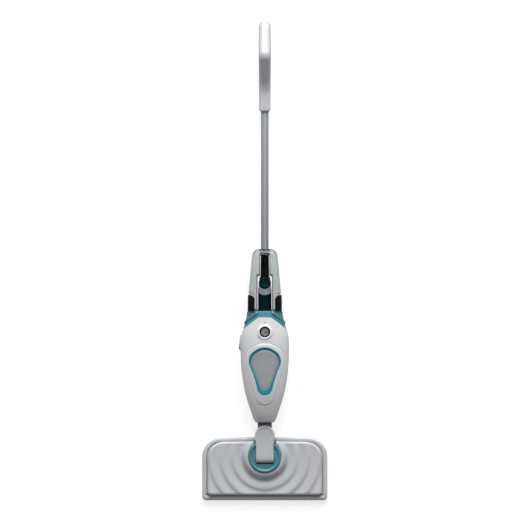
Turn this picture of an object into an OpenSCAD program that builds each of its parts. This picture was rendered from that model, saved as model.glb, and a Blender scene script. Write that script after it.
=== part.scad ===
// Steam mop lying on the floor: the head is flat on its pad, and the stick runs back along +Y.
// +Z is up and is the side that the front of the body faces. All sizes are in millimetres.

/* [Head] */
// Width of the mop head and its pad
head_w = 300; // [280:2:320]
// Depth of the mop head and its pad, front to back
head_d = 152; // [146:1:158]
// Thickness of the microfibre pad
pad_t = 5; // [4:0.5:6]
// Height of the top of the flange above the floor
flange_z = 14; // [13:0.5:15]
// Width of the flange round the cover
flange_w = 12; // [11:0.5:13]
// Height of the cover's flat top above the floor
cover_z = 27; // [26:0.5:28]
// Radius of the trim disc round the neck
disc_r = 39; // [38:0.5:40]

/* [Neck] */
// Place of the tilt axle behind the middle of the head
tilt_y = 28; // [27:0.5:29]
// Height of the tilt axle above the floor
tilt_z = 34; // [33.5:0.5:34.5]
// Radius of the neck's barrel round the tilt axle
barrel_r = 16; // [15.5:0.5:16]
// Distance between the tilt axle and the swivel pin
neck_len = 50; // [49:0.5:51]
// Radius of the neck's knuckle round the swivel pin
knuckle_r = 24; // [23:0.5:24.5]
// Width of the neck below the knuckle
neck_w = 42; // [41:0.5:43]

/* [Body] */
// Height of the stick's centre line above the floor
stick_z = 38; // [38:0.5:38.5]
// Height of the parting plane between the two shells
part_z = 44; // [44:0.5:44.5]
// Wall thickness of the shells
wall = 2.4; // [2:0.1:2.6]
// Place of the steam dial along the stick
dial_y = 323.5; // [322:0.5:325]
// Radius of the steam dial
dial_r = 9.5; // [9:0.1:9.6]

/* [Tank] */
// Place of the tank's foot along the stick
tank_y = 375; // [375:1:376]
// Wall thickness of the tank
tank_wall = 2.2; // [2:0.1:2.4]
// Half width of the slot in the tank beside the socket
slot_w = 11.2; // [11.2:0.1:11.6]
// Half width of the slot in the tank beside the spine
slot_wide = 17.5; // [17.5:0.1:17.8]
// Place of the release button along the stick
button_y = 443.5; // [443:0.5:444]

/* [Stick and handle] */
// Outside diameter of the tube
tube_d = 18; // [17.8:0.1:18]
// Wall thickness of the tube
tube_wall = 1.2; // [1:0.1:1.4]
// Place of the bottom of the handle along the stick
handle_y = 855; // [840:5:870]
// Width of the handle
handle_w = 28; // [26:1:30]
// Place of the upper cord hook along the stick
hook_y = 874; // [868:1:880]

/* [Hidden] */
$fn = 64;
eps = 0.01;
running = 0.05;     // radial clearance of a running fit
swivel_y = tilt_y + neck_len;
base_z = pad_t + 1; // the head base stands on the hook strips
base_t = 2.4;
neck_front_z = tilt_z + barrel_r;
neck_back_z = 25;
eye_t = 13;
eye_r = 17;
eye_gap = 0.3;
cheek_z = stick_z + eye_t / 2 + eye_gap;
axle_r = 4;
elbow_x = 33.2;
pin_r = 4;
slot_half = neck_w / 2 + 2;
tube_r = tube_d / 2;
socket_r = tube_r + 1.5;
socket_bottom = 458;
socket_top = 514;
bridge_y = 511;
bridge_z = 50;
cap_x = 25;
cap_z = 55;
rocker_y = 299.5;
lens_y = dial_y + 22;
rocker_x = -56.5;
rocker_z = 55;
collar_y = 333;     // the collar's lower edge at the sides and back
deck_t = 6;         // thickness of the deck under the tank
seat_r = 10.4;      // radius of the recess for the tank's cap
grey = "gainsboro";
teal = "cadetblue";
dark = "dimgray";

// Half width, front height and back depth of the body at places along the stick, from the parting plane
BODY = [
    [108, 20, 14, 15], [118, 27, 21, 19], [134, 32.6, 29, 24], [163, 42, 38.5, 31], [193, 49.5, 44, 35],
    [222, 54.2, 47.5, 37.5], [250, 57, 49.5, 38], [280, 58, 50.5, 38], [300, 57.8, 50, 37.5],
    [316, 56.5, 49, 36.5], [331, 52.5, 47.5, 35], [346, 47.8, 45.8, 33], [360, 42.6, 44, 31.5],
    [375, 41, 42, 30]
];
// Half width, lowest and highest point of the tank at places along the stick
TANK = [
    [375, 37.2, 21, 88], [416, 36.8, 21, 86.5], [419, 38.6, 21, 86.4], [445, 36.4, 22, 84.5],
    [487, 32.8, 24, 80], [505, 30.8, 26, 77], [514, 28.2, 28, 75], [520, 23.5, 31, 72], [524, 17, 35, 68]
];

// ---- outlines ----

function unit(v) = v / norm(v);

// The arc that rounds corner b of a polygon, where a and c are its neighbours
function corner(a, b, c, r, n) =
    let (
        u = unit(a - b), v = unit(c - b), half = acos(u * v) / 2,
        centre = b + unit(u + v) * r / sin(half),
        s = b + u * r / tan(half) - centre, e = b + v * r / tan(half) - centre,
        from = atan2(s.y, s.x), turn = (atan2(e.y, e.x) - from + 540) % 360 - 180
    )
    [for (i = [0:n]) centre + r * [cos(from + turn * i / n), sin(from + turn * i / n)]];

// A polygon of [x, y, corner radius] with its corners rounded
function rounded(pts, n = 6) =
    let (m = len(pts), xy = [for (p = pts) [p.x, p.y]])
    [for (i = [0:m - 1]) each corner(xy[(i + m - 1) % m], xy[i], xy[(i + 1) % m], pts[i][2], n)];

// The head's outline, drawn in by inset: tight corners at the front and wide ones at the back
function head_outline(inset) =
    let (w = head_w / 2 - inset, d = head_d / 2 - inset, front = max(10 - inset, 3), back = 44 - inset * 0.7)
    rounded([[-w, -d, front], [w, -d, front], [w, d, back], [-w, d, back]], 10);

// The drop outline of the badge, grown by grow
function drop_outline(grow) = rounded([
    [0, 295.5 + grow, 38 + grow], [-44 - grow * 1.5, 266 + grow * 0.3, 28 + grow],
    [-13.4 - grow * 0.7, 173.4 - grow, 18 + grow], [13.4 + grow * 0.7, 173.4 - grow, 18 + grow],
    [44 + grow * 1.5, 266 + grow * 0.3, 28 + grow]
], 8);

LENS = [[-5.5, -2.5], [5.5, -2.5], [0, 3]];

// The body's front area that the collar leaves to the front shell
SHIELD = [[-70, 90], [-70, 326], [-52, 333], [-15.5, 359.5], [15.5, 359.5], [52, 333], [70, 326], [70, 90]];

// ---- lofts along the stick ----

// A Catmull-Rom curve through the rows of a table, with steps points in each span
function smooth_rows(rows, steps) =
    let (n = len(rows))
    [
        for (i = [0:n - 2], k = [0:steps - 1])
            let (
                t = k / steps, a = rows[max(i - 1, 0)], b = rows[i], c = rows[i + 1],
                d = rows[min(i + 2, n - 1)]
            )
            0.5 * (2 * b + (c - a) * t + (2 * a - 5 * b + 4 * c - d) * t * t
                + (3 * b - a - 3 * c + d) * t * t * t),
        rows[n - 1]
    ];

function power(v, p) = sign(v) * pow(abs(v), p);

// A half loop across the stick: up is 1 for the front half and -1 for the back half
function half_loop(w, h, up, n = 14) =
    [for (i = [0:n]) let (a = 180 * i / n) [w * power(cos(a), 0.84), part_z + up * h * power(sin(a), 0.84)]];

function reverse(list) = [for (i = [len(list) - 1:-1:0]) list[i]];

// The closed loop of one shell wall at a row of BODY, set out by proud
function shell_loop(row, up, proud, t) =
    let (h = up > 0 ? row[2] : row[3])
    concat(half_loop(row[1] + proud, h + proud, up), reverse(half_loop(row[1] + proud - t, h + proud - t, up)));

// A solid through closed loops of [x, z] points, one at each y; open says that the loop is a bent wall
module loft(ys, loops, open = false) {
    m = len(loops[0]);
    k = len(ys);
    caps = open ? [for (j = [0:m / 2 - 2]) [j, j + 1, m - 2 - j, m - 1 - j]] : [[for (j = [0:m - 1]) j]];
    points = [for (i = [0:k - 1], p = loops[i]) [p[0], ys[i], p[1]]];
    sides = [
        for (i = [0:k - 2], j = [0:m - 1])
            let (a = i * m + j, b = i * m + (j + 1) % m)
            each [[a, b, b + m], [a, b + m, a + m]]
    ];
    polyhedron(points, concat([for (c = caps) reverse(c)], sides, [for (c = caps) [for (j = c) (k - 1) * m + j]]));
}

module shell_half(up, proud = 0, t = wall) {
    rows = smooth_rows(BODY, 2);
    loops = [for (r = rows) shell_loop(r, up, proud, t)];
    loft([for (r = rows) r[0]], up > 0 ? loops : [for (l = loops) reverse(l)], true);
}

// A closed superellipse loop between two heights
function tank_loop(row, inset, n = 32) =
    let (w = row[1] - inset, mid = (row[2] + row[3]) / 2, h = (row[3] - row[2]) / 2 - inset)
    [for (i = [0:n - 1]) let (a = 360 * i / n) [w * power(cos(a), 0.62), mid + h * power(sin(a), 0.62)]];

module tank_volume(inset, grow_w = 0) {
    rows = [for (r = TANK) [r[0], r[1] + grow_w, r[2], r[3]]];
    first = rows[0][0] + inset;
    last = rows[len(rows) - 1][0] - inset * 0.8;
    ys = [for (r = rows) min(max(r[0], first), last)];
    kept = [for (i = [0:len(rows) - 1]) if (i == 0 || ys[i] > ys[i - 1] + eps) i];
    loft([for (i = kept) ys[i]], [for (i = kept) tank_loop(rows[i], inset)]);
}

// ---- small helpers ----

module along_y(x, y, z, r, length, fn = 48) {
    translate([x, y, z]) rotate([-90, 0, 0]) cylinder(r = r, h = length, $fn = fn);
}

module along_x(x, y, z, r, length, fn = 48) {
    translate([x, y, z]) rotate([0, 90, 0]) cylinder(r = r, h = length, $fn = fn);
}

module block(from, to) {
    translate(from) cube(to - from);
}

module screw(x, y, z, length, r = 1.6, head_r = 3, head_h = 2.4) {
    translate([x, y, z]) {
        cylinder(r = head_r, h = head_h, $fn = 32);
        translate([0, 0, head_h]) cylinder(r = r, h = length, $fn = 24);
    }
}

// ---- head ----

module mop_pad() {
    color("whitesmoke") linear_extrude(pad_t) polygon(head_outline(0));
}

module hook_strips() {
    color(dark) for (y = [-52, 0, 52])
        block([-105, y - 9, pad_t], [105, y + 9, base_z]);
}

SPOTS = [for (x = [-100:40:100], y = [-28, 27]) [x, y]];
CRADLE_SCREWS = [[-38, 4], [38, 4], [-38, 52], [38, 52]];
COVER_SCREWS = [[-118, -44], [118, -44], [-118, 26], [118, 26], [-60, -44], [60, -44]];

module head_base() {
    color(grey) difference() {
        union() {
            translate([0, 0, base_z]) linear_extrude(base_t) polygon(head_outline(0));
            difference() {
                translate([0, 0, base_z]) linear_extrude(flange_z - base_z) polygon(head_outline(0));
                translate([0, 0, base_z + 1]) linear_extrude(flange_z) polygon(head_outline(2.4));
            }
            difference() {
                translate([0, 0, flange_z - 2.4]) linear_extrude(2.4) polygon(head_outline(0));
                translate([0, 0, base_z]) linear_extrude(flange_z) polygon(head_outline(flange_w + 4));
            }
            for (p = concat(CRADLE_SCREWS, COVER_SCREWS))
                translate([p.x, p.y, base_z]) cylinder(r = 4.5, h = 6, $fn = 32);
        }
        for (p = SPOTS) translate([p.x, p.y, 0]) cylinder(r = 1.5, h = base_z + 4, $fn = 24);
        for (p = concat(CRADLE_SCREWS, COVER_SCREWS)) translate([p.x, p.y, base_z]) {
            translate([0, 0, -1]) cylinder(r = 3.1, h = 3.4, $fn = 32);
            cylinder(r = 1.6, h = 20, $fn = 24);
        }
    }
}

module head_cover() {
    color(grey) difference() {
        union() {
            translate([0, 0, flange_z]) linear_extrude(cover_z - flange_z) polygon(head_outline(flange_w));
            translate([0, tilt_y, 0]) cylinder(r1 = 56, r2 = 45, h = 42, $fn = 96);
        }
        difference() {
            union() {
                translate([0, 0, flange_z - 10]) linear_extrude(cover_z - flange_z + 7.6)
                    polygon(head_outline(flange_w + 2.4));
                translate([0, tilt_y, -1]) cylinder(r1 = 53.5, r2 = 42.5, h = 43, $fn = 96);
            }
            for (p = COVER_SCREWS) translate([p.x, p.y, 0]) cylinder(r = 4.5, h = cover_z, $fn = 32);
        }
        for (p = COVER_SCREWS) translate([p.x, p.y, 0]) cylinder(r = 1.6, h = 22, $fn = 24);
        translate([0, tilt_y, -1]) cylinder(r = disc_r, h = 80, $fn = 96);
        block([-200, -100, -1], [200, 100, flange_z]);
        block([-slot_half - 2, tilt_y, 0], [slot_half + 2, 120, 60]);
        block([-200, head_d / 2 - flange_w, 0], [200, 120, 60]);
    }
}

module trim_ring() {
    color(teal) translate([0, tilt_y, 0]) difference() {
        translate([0, 0, 27]) cylinder(r = disc_r, h = 17, $fn = 96);
        translate([0, 0, 20]) cylinder(r = disc_r - 2.4, h = 21.6, $fn = 96);
        block([-slot_half, -barrel_r - 1.5, 0], [slot_half, 90, 60]);
        block([-60, head_d / 2 - flange_w - tilt_y, 0], [60, 90, 60]);
    }
}

module pivot_cradle() {
    color(dark) difference() {
        union() {
            block([-44, -3, base_z + 6], [44, 60, base_z + 8.4]);
            for (s = [-1, 1]) {
                along_x(s * 26 - 3, tilt_y, tilt_z, 6.8, 6);
                block([s * 26 - 3, tilt_y - 6.8, base_z + 7], [s * 26 + 3, tilt_y + 6.8, tilt_z]);
            }
        }
        along_x(-60, tilt_y, tilt_z, axle_r, 120);
        for (p = CRADLE_SCREWS) translate([p.x, p.y, base_z]) cylinder(r = 1.6, h = 12, $fn = 24);
    }
}

module tilt_axle() {
    color("silver") difference() {
        along_x(-30, tilt_y, tilt_z, axle_r, 60);
        along_x(-26, tilt_y, tilt_z, 2, 70, 24);
    }
}

module cradle_screws() {
    color("silver") for (p = CRADLE_SCREWS) screw(p.x, p.y, base_z, 6);
}

module cover_screws() {
    color("silver") for (p = COVER_SCREWS) screw(p.x, p.y, base_z, 12);
}

module steam_diffuser() {
    color(dark) difference() {
        block([-108, -36, base_z + base_t], [108, -20, base_z + 7]);
        block([-104, -33, base_z + base_t - 1], [104, -23, base_z + 5]);
        translate([elbow_x, -28, 0]) cylinder(r = 1.8, h = 30, $fn = 24);
    }
}

module steam_elbow() {
    low_z = 19;
    color(dark) difference() {
        union() {
            along_x(30, tilt_y, tilt_z, 3, elbow_x - 30);
            translate([elbow_x, tilt_y, tilt_z]) sphere(r = 3, $fn = 32);
            translate([elbow_x, tilt_y, low_z]) cylinder(r = 3, h = tilt_z - low_z, $fn = 32);
            translate([elbow_x, tilt_y, low_z]) sphere(r = 3, $fn = 32);
            along_y(elbow_x, -28, low_z, 3, tilt_y + 28);
            translate([elbow_x, -28, low_z]) sphere(r = 3, $fn = 32);
            translate([elbow_x, -28, base_z + 7]) cylinder(r = 3, h = low_z - base_z - 7, $fn = 32);
        }
        along_x(28, tilt_y, tilt_z, 1.8, elbow_x - 28, 24);
        translate([elbow_x, tilt_y, low_z]) cylinder(r = 1.8, h = tilt_z - low_z, $fn = 24);
        along_y(elbow_x, -28, low_z, 1.8, tilt_y + 28, 24);
        translate([elbow_x, -28, base_z]) cylinder(r = 1.8, h = low_z - base_z, $fn = 24);
    }
}

// ---- neck ----

module neck_solid() {
    difference() {
        union() {
            along_x(-neck_w / 2, tilt_y, tilt_z, barrel_r, neck_w, 96);
            block([-neck_w / 2, tilt_y, neck_back_z], [neck_w / 2, swivel_y, neck_front_z]);
            translate([0, swivel_y, neck_back_z]) cylinder(r = knuckle_r, h = neck_front_z - neck_back_z, $fn = 96);
        }
        along_x(-60, tilt_y, tilt_z, axle_r + running, 120);
        translate([0, swivel_y, 26]) cylinder(r = pin_r, h = 22, $fn = 48);
        along_y(0, tilt_y + 10, stick_z, 4, 14, 32);
    }
}

module eye_pocket() {
    reach = eye_r + 0.6;
    tangent = reach * cos(45);
    translate([0, swivel_y, stick_z - eye_t / 2 - eye_gap]) linear_extrude(eye_t + 2 * eye_gap) union() {
        circle(r = reach, $fn = 96);
        polygon([
            [tangent, -tangent], [60, 60 - 2 * tangent], [60, 80], [-60, 80], [-60, 60 - 2 * tangent],
            [-tangent, -tangent]
        ]);
    }
}

module neck_body() {
    color(grey) difference() {
        neck_solid();
        eye_pocket();
        block([-60, 0, cheek_z], [60, 140, 80]);
    }
}

module neck_cover() {
    color(grey) intersection() {
        neck_solid();
        block([-60, 0, cheek_z], [60, 140, 80]);
    }
}

module swivel_pin() {
    color("silver") translate([0, swivel_y, 26]) cylinder(r = pin_r, h = 22, $fn = 48);
}

module neck_hose() {
    color("lightsteelblue") difference() {
        along_y(0, tilt_y + 10, stick_z, 4, 14, 32);
        along_y(0, tilt_y + 9, stick_z, 2.4, 16, 24);
    }
}

// ---- body ----

module connector() {
    color(dark) difference() {
        union() {
            translate([0, swivel_y, stick_z - eye_t / 2]) cylinder(r = eye_r, h = eye_t, $fn = 96);
            block([-eye_r, swivel_y, stick_z - eye_t / 2], [eye_r, 120, stick_z + eye_t / 2]);
            block([-eye_r, 110, stick_z - 8], [eye_r, 140, stick_z + 8]);
        }
        translate([0, swivel_y, 0]) cylinder(r = pin_r + running, h = 80, $fn = 48);
        along_y(0, 96, stick_z, 3, 60, 32);
    }
}

// Place of each screw boss, its height in the front shell and its depth in the rear shell
BOSSES = [[-34, 180, 26, 20], [34, 180, 26, 20], [-40, 250, 34, 26], [40, 250, 34, 26]];

// Height of the inside of the rear shell's back at y, a little into its wall
function p_floor(y) = y < 200 ? 14 : 8.6;

module front_shell() {
    color(grey) difference() {
        union() {
            intersection() {
                shell_half(1);
                linear_extrude(200) polygon(SHIELD);
            }
            for (p = BOSSES) translate([p.x, p.y, part_z]) cylinder(r = 4, h = p[2], $fn = 24);
        }
        block([-eye_r, 100, stick_z - 8], [eye_r, 140, stick_z + 8]);
        linear_extrude(200) polygon(drop_outline(0));
        translate([0, dial_y, 70]) cylinder(r = 17.5, h = 40, $fn = 64);
        translate([0, lens_y, 70]) linear_extrude(40) polygon(LENS);
        block([-70, rocker_y - 18.5, rocker_z - 9], [-40, rocker_y + 18.5, rocker_z + 9]);
        for (p = BOSSES) translate([p.x, p.y, part_z - 1]) cylinder(r = 1.6, h = 11, $fn = 24);
    }
}

module rear_shell() {
    color(grey) difference() {
        union() {
            intersection() {
                shell_half(-1);
                block([-80, 90, 0], [80, collar_y, part_z]);
            }
            for (p = BOSSES) translate([p.x, p.y, part_z - p[3]]) cylinder(r = 4, h = p[3], $fn = 24);
            for (y = [168, 222]) block([-14, y, p_floor(y)], [14, y + 3, 34]);
            block([18, 278, 12], [32, 282, 44]);
            for (y = [263, 299]) translate([-33, y, 12.3]) cylinder(r = 3, h = 51.7, $fn = 24);
        }
        along_y(0, 160, 47, 25, 75, 96);
        along_y(cap_x, 262, 50, 13, 38, 48);
        block([-eye_r, 100, stick_z - 8], [eye_r, 140, stick_z + 8]);
        for (p = BOSSES) translate([p.x, p.y, 0]) {
            cylinder(r = 1.6, h = 60, $fn = 24);
            cylinder(r = 3.1, h = 26.4, $fn = 32);
        }
        translate([0, 300, 0]) cylinder(r = 7, h = 20, $fn = 48);
    }
}

module collar() {
    color(teal) union() {
        difference() {
            intersection() {
                shell_half(1);
                block([-80, 320, part_z], [80, tank_y, 120]);
            }
            translate([0, 0, 20]) linear_extrude(200) polygon(SHIELD);
        }
        intersection() {
            shell_half(-1);
            block([-80, collar_y, 0], [80, tank_y, part_z]);
        }
    }
}

module badge_ring() {
    color(teal) intersection() {
        shell_half(1, 0.8, wall + 0.8);
        difference() {
            linear_extrude(200) polygon(drop_outline(0));
            linear_extrude(200) polygon(drop_outline(-5));
        }
    }
}

module badge_plate() {
    color("silver") intersection() {
        shell_half(1, -0.4, wall - 0.4);
        linear_extrude(200) polygon(drop_outline(-5));
    }
}

module index_lens() {
    color("darkgray") translate([0, lens_y, 86]) linear_extrude(4.6) polygon(LENS);
}

module ring(y, r_out, r_in, z0, z1) {
    translate([0, y, z0]) difference() {
        cylinder(r = r_out, h = z1 - z0, $fn = 64);
        translate([0, 0, -1]) cylinder(r = r_in, h = z1 - z0 + 2, $fn = 64);
    }
}

module dial_bezel() {
    color("white") ring(dial_y, 17.5, 12.8, 84, 96.2);
}

module dial_seat() {
    color("black") ring(dial_y, 12.8, dial_r + 0.4, 80, 94);
}

module steam_dial() {
    color("gray") union() {
        translate([0, dial_y, 84]) cylinder(r = dial_r, h = 10.5, $fn = 64);
        intersection() {
            translate([0, dial_y, 90]) cylinder(r = dial_r, h = 7.4, $fn = 64);
            translate([0, dial_y, 90]) rotate([0, 0, 45]) block([-20, -1.6, 0], [20, 1.6, 20]);
        }
        translate([0, dial_y, 74]) cylinder(r = 3, h = 12, $fn = 32);
    }
}

module dial_valve() {
    color(dark) difference() {
        translate([0, dial_y, 67]) cylinder(r = 12, h = 13, $fn = 48);
        translate([0, dial_y, 72]) cylinder(r = 3 + running, h = 20, $fn = 32);
    }
}

module rocker_bezel() {
    color(grey) difference() {
        block([-60, rocker_y - 18.5, rocker_z - 9], [-50, rocker_y + 18.5, rocker_z + 9]);
        block([-70, rocker_y - 16.3, rocker_z - 7], [-53, rocker_y + 16.3, rocker_z + 7]);
    }
}

module power_rocker() {
    color("black") translate([rocker_x, rocker_y, rocker_z - 6.7]) linear_extrude(13.4)
        polygon([
            [1, -5], [0, -15], [-6, -14.6], [-4.6, -4], [-3.7, 4], [-3.4, 15], [0.4, 15.2], [1, 5]
        ]);
}

module switch_block() {
    color(dark) block([-50, rocker_y - 13, rocker_z - 7], [-36, rocker_y + 13, rocker_z + 7]);
}

module boiler() {
    color("silver") difference() {
        union() {
            along_y(0, 160, 47, 25, 75, 96);
            block([-10, 172, 60], [10, 226, 73]);
        }
        for (s = [-1, 1]) along_y(s * 14, 175, 34, 4, 70, 32);
        along_y(0, 159, stick_z, 2, 30, 24);
        along_y(18, 215, 47, 2, 30, 24);
    }
}

module heater_rods() {
    color("darkgray") for (s = [-1, 1]) along_y(s * 14, 175, 34, 4, 68, 32);
}

module thermostat() {
    color("dimgray") translate([0, 186, 73]) {
        cylinder(r = 8, h = 4, $fn = 32);
        cylinder(r = 6, h = 7, $fn = 32);
    }
}

module thermal_fuse() {
    color("lightgray") along_x(-8, 212, 75.6, 2.6, 16, 24);
}

module pump() {
    color("steelblue") union() {
        along_y(cap_x, 262, 50, 13, 38, 48);
        along_y(cap_x, 300, 50, 9, 12, 48);
    }
}

module tube_y(x, z, from, to, r = 3, bore = 1.8) {
    difference() {
        along_y(x, from, z, r, to - from, 24);
        along_y(x, from - 1, z, bore, to - from + 2, 24);
    }
}

module inlet_hose() {
    color("lightsteelblue") tube_y(cap_x, cap_z, 312, 358);
}

module outlet_hose() {
    color("lightsteelblue") tube_y(18, 47, 235, 262);
}

module steam_pipe() {
    color("silver") tube_y(0, stick_z, 140, 160);
}

module control_board() {
    color("seagreen") union() {
        block([-38, 258, 64], [4, 304, 65.6]);
        block([-34, 264, 65.6], [-18, 278, 76]);
        translate([-8, 288, 65.6]) cylinder(r = 5, h = 12, $fn = 24);
    }
}

module cable_gland() {
    color(dark) translate([0, 300, 0]) difference() {
        union() {
            translate([0, 0, 2.5]) cylinder(r = 7, h = 14.5, $fn = 48);
            translate([0, 0, 10]) cylinder(r = 10, h = 3, $fn = 48);
        }
        cylinder(r = 4, h = 40, $fn = 48);
    }
}

module shell_screws() {
    color("silver") for (p = BOSSES) screw(p.x, p.y, 24, 26);
}

// ---- tank seat and spine ----

module deck_outline() {
    w = BODY[13][1] - wall;
    front = half_loop(w, BODY[13][2] - wall, 1);
    back = half_loop(w, BODY[13][3] - wall, -1);
    polygon(concat(front, reverse([for (i = [1:len(back) - 2]) back[i]])));
}

module tank_deck() {
    color(dark) difference() {
        translate([0, tank_y, 0]) rotate([90, 0, 0]) linear_extrude(deck_t) deck_outline();
        along_y(cap_x, 360, cap_z, seat_r, 30, 48);
        for (s = [-1, 1]) along_y(s * 9, 360, stick_z, 1.6, 30, 24);
    }
}

module tank_seat() {
    color(dark) difference() {
        along_y(cap_x, 358, cap_z, 12, tank_y - deck_t - 358, 48);
        along_y(cap_x, 360, cap_z, seat_r, 30, 48);
        along_y(cap_x, 350, cap_z, 1.8, 30, 24);
    }
}

module deck_screws() {
    color("silver") for (s = [-1, 1])
        translate([s * 9, tank_y - deck_t - 2.4, stick_z]) rotate([-90, 0, 0]) screw(0, 0, 0, 16);
}

module handle_spine() {
    color("darkslategray") difference() {
        union() {
            block([-12, tank_y, 24], [12, 455, 56]);
            block([-16, tank_y, 26], [16, 432, 49]);
            translate([0, button_y, 24]) cylinder(r = 14.5, h = 33, $fn = 64);
            along_y(0, 452, stick_z, 13, 6, 64);
        }
        along_y(0, 390, stick_z, tube_r, 80, 64);
        translate([0, button_y, 50]) cylinder(r = 12.9, h = 20, $fn = 64);
        translate([0, button_y, 40]) cylinder(r = 3.3, h = 20, $fn = 32);
        for (s = [-1, 1]) along_y(s * 9, 360, stick_z, 1.6, tank_y + 10 - 360, 24);
    }
}

module handle_socket() {
    color("black") difference() {
        along_y(0, socket_bottom, stick_z, socket_r, socket_top - socket_bottom, 64);
        along_y(0, socket_bottom - 1, stick_z, tube_r, socket_top - socket_bottom + 2, 64);
    }
}

module release_button() {
    color("darkslategray") translate([0, button_y, 0]) {
        difference() {
            translate([0, 0, 54]) cylinder(r = 12.5, h = 9, $fn = 64);
            translate([0, 0, 53]) cylinder(r = 10.5, h = 7.4, $fn = 64);
        }
        translate([0, 0, 44.5]) cylinder(r = 3, h = 17, $fn = 32);
    }
}

module button_spring() {
    color("silver") translate([0, button_y, 50.6]) rotate_extrude($fn = 48)
        for (k = [0:4]) translate([6, k * 1.15]) circle(r = 0.6, $fn = 16);
}

module button_guard() {
    color("lightslategray") translate([0, 0, 56]) linear_extrude(3) difference() {
        intersection() {
            translate([0, 434.5]) circle(r = 20.6, $fn = 64);
            translate([-14.8, 400]) square([29.6, button_y - 402]);
        }
        translate([0, button_y]) circle(r = 14.6, $fn = 64);
    }
}

module tank_cradle() {
    color("black") difference() {
        union() {
            block([-9, 404, 15.5], [9, 412, 18]);
            intersection() {
                difference() {
                    loft([368, 375, 430], [for (w = [41, 41, 40]) tank_loop([0, w, 15.5, 88.4], 0)]);
                    loft([360, 440], [for (w = [38, 37.8]) tank_loop([0, w, 19, 90], 0)]);
                }
                linear_extrude(200) polygon([
                    [-50, 360], [50, 360], [50, 422], [26, 401], [20, 425], [-20, 425], [-26, 401], [-50, 422]
                ]);
                union() {
                    block([-60, 360, 0], [-26, 440, 120]);
                    block([26, 360, 0], [60, 440, 120]);
                    block([-60, 360, 0], [60, 440, 34]);
                }
            }
        }
        block([-60, 340, 0], [60, tank_y, 120]);
    }
}

module tank_slot(grow) {
    block([-slot_wide - grow, 300, 0], [slot_wide + grow, 462 + grow, 120]);
    block([-slot_w - grow, 400, 0], [slot_w + grow, bridge_y + grow, 120]);
    block([-slot_w - grow, 400, 0], [slot_w + grow, 600, bridge_z + grow]);
}

module tank_shell() {
    color("lightcyan", 0.5) difference() {
        union() {
            difference() {
                tank_volume(0);
                tank_slot(0);
                difference() {
                    tank_volume(tank_wall);
                    tank_slot(tank_wall);
                }
            }
            along_y(cap_x, 365, cap_z, 7.2, 11, 48);
        }
        along_y(cap_x, 360, cap_z, 5.6, 20, 48);
    }
}

module tank_cap() {
    color("darkslategray") difference() {
        along_y(cap_x, 362.3, cap_z, 9.4, 12.3, 48);
        along_y(cap_x, 364.6, cap_z, 7.2 + running, 20, 48);
        along_y(cap_x, 350, cap_z, 3.2, 30, 32);
    }
}

module tank_seal() {
    color("black") difference() {
        along_y(cap_x, 360, cap_z, 9, 2, 48);
        along_y(cap_x, 350, cap_z, 4.5, 20, 32);
    }
}

module lower_cord_hook() {
    color(dark) union() {
        block([-9, 404, 3], [9, 412, 15.5]);
        block([-12, 382, 2], [12, 412, 5.5]);
    }
}

// ---- stick and handle ----

module stick_tube() {
    color("darkgray") difference() {
        along_y(0, 392, stick_z, tube_r, 508, 64);
        along_y(0, 380, stick_z, tube_r - tube_wall, 600, 64);
        translate([0, button_y, 40]) cylinder(r = 3.3, h = 20, $fn = 32);
    }
}

module hook_base() {
    color(dark) difference() {
        union() {
            translate([0, hook_y, 19]) cylinder(r = 9, h = 5, $fn = 48);
            block([-8, hook_y - 14, 21], [8, hook_y + 14, 24]);
        }
        translate([0, hook_y, 10]) cylinder(r = 3 + running, h = 13, $fn = 32);
    }
}

module cord_hook() {
    color(dark) translate([0, hook_y, 0]) {
        translate([0, 0, 14]) cylinder(r = 9, h = 4.7, $fn = 48);
        translate([0, 0, 14]) cylinder(r = 3, h = 8.6, $fn = 32);
        block([-7, -4, 1], [7, 4, 15]);
        block([-8, -32, 0], [8, 4, 3.2]);
        block([-8, -32, 3.2], [8, -28, 6]);
    }
}

HANDLE_OUTER = rounded([
    [handle_y, 24, 4], [handle_y, 52, 4], [920, 53, 30], [992, 114, 24], [1074, 72, 30],
    [1066, 2, 30], [945, 4, 60], [912, 24, 40]
], 8);
HANDLE_OPENING = rounded([[946, 44, 12], [988, 84, 10], [1046, 56, 12], [1040, 24, 12], [962, 22, 14]], 6);

module handle_half(side) {
    difference() {
        rotate([90, 0, 90]) translate([0, 0, side > 0 ? 0 : -handle_w / 2])
            linear_extrude(handle_w / 2) difference() {
                polygon(HANDLE_OUTER);
                polygon(HANDLE_OPENING);
            }
        along_y(0, 840, stick_z, tube_r, 60, 64);
        for (p = HANDLE_SCREWS) along_x(-8, p.x, p.y, 1.6, 16, 24);
    }
}

HANDLE_SCREWS = [[916, 36], [1000, 13], [1008, 88]];

module handle_left() {
    color(grey) handle_half(-1);
}

module handle_right() {
    color(grey) handle_half(1);
}

module handle_screws() {
    color("silver") for (p = HANDLE_SCREWS) along_x(-8, p.x, p.y, 1.6, 16, 24);
}

mop_pad();
hook_strips();
head_base();
head_cover();
trim_ring();
pivot_cradle();
tilt_axle();
cradle_screws();
cover_screws();
steam_diffuser();
steam_elbow();
neck_body();
neck_cover();
swivel_pin();
neck_hose();
connector();
front_shell();
rear_shell();
collar();
badge_ring();
badge_plate();
index_lens();
dial_bezel();
dial_seat();
steam_dial();
dial_valve();
rocker_bezel();
power_rocker();
switch_block();
boiler();
heater_rods();
thermostat();
thermal_fuse();
pump();
inlet_hose();
outlet_hose();
steam_pipe();
control_board();
cable_gland();
shell_screws();
tank_deck();
tank_seat();
deck_screws();
handle_spine();
handle_socket();
release_button();
button_spring();
button_guard();
tank_cradle();
tank_shell();
tank_cap();
tank_seal();
lower_cord_hook();
stick_tube();
hook_base();
cord_hook();
handle_left();
handle_right();
handle_screws();
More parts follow.
